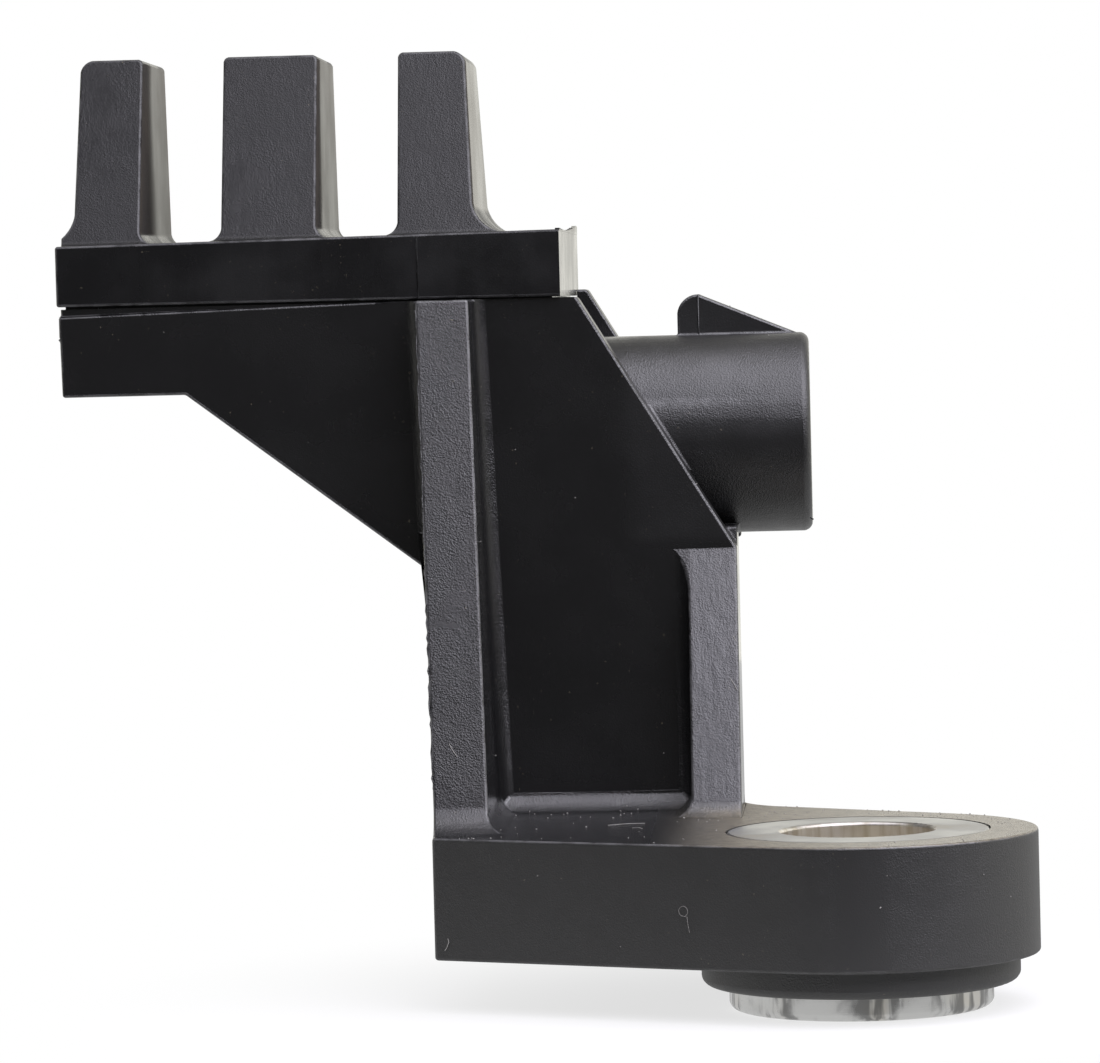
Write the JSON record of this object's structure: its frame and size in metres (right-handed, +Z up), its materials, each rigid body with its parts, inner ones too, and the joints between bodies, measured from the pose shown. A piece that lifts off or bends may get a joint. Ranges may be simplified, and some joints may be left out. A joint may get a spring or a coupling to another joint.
{
  "type": "crankshaft position sensor",
  "caption": "Hall-effect crankshaft position sensor: black moulded bracket with a bushed bolt foot, a slotted sensing head with upright fingers and a shrouded plug connector.",
  "frame": {"origin": "centre of the compression bush's lower face, where the bolt's axis meets the engine", "axes": "+Z up the bolt's axis, away from the engine; +X out of the connector's mouth; +Y from the sensor's front to its back"},
  "size_m": [0.057, 0.0517, 0.0556],
  "materials": {
    "black_moulding": "satin, glass-filled",
    "head_moulding": "satin, fine spark texture",
    "bush_metal": "turned, bright",
    "magnet_metal": "sintered, grey",
    "pole_steel": "plain",
    "switch_body": "moulded",
    "tinned_metal": "tin plated",
    "board_laminate": "solder mask",
    "capacitor_body": "fired",
    "resistor_body": "glazed",
    "potting_resin": "cast"
  },
  "bodies": {
    "root": {"housing": "black_moulding", "sensing_head": "head_moulding", "compression_bush": "bush_metal", "magnet": "magnet_metal", "outer_pole_plate": "pole_steel", "inner_pole_plate": "pole_steel", "outer_hall_switch": "switch_body", "inner_hall_switch": "switch_body", "outer_hall_leads": "tinned_metal", "inner_hall_leads": "tinned_metal", "outer_flux_plate": "pole_steel", "inner_flux_plate": "pole_steel", "circuit_board": "board_laminate", "bypass_capacitors": "capacitor_body", "series_resistors": "resistor_body", "supply_terminal": "tinned_metal", "ground_terminal": "tinned_metal", "outer_signal_terminal": "tinned_metal", "inner_signal_terminal": "tinned_metal", "potting_fill": "potting_resin"}
  },
  "joints": []
}
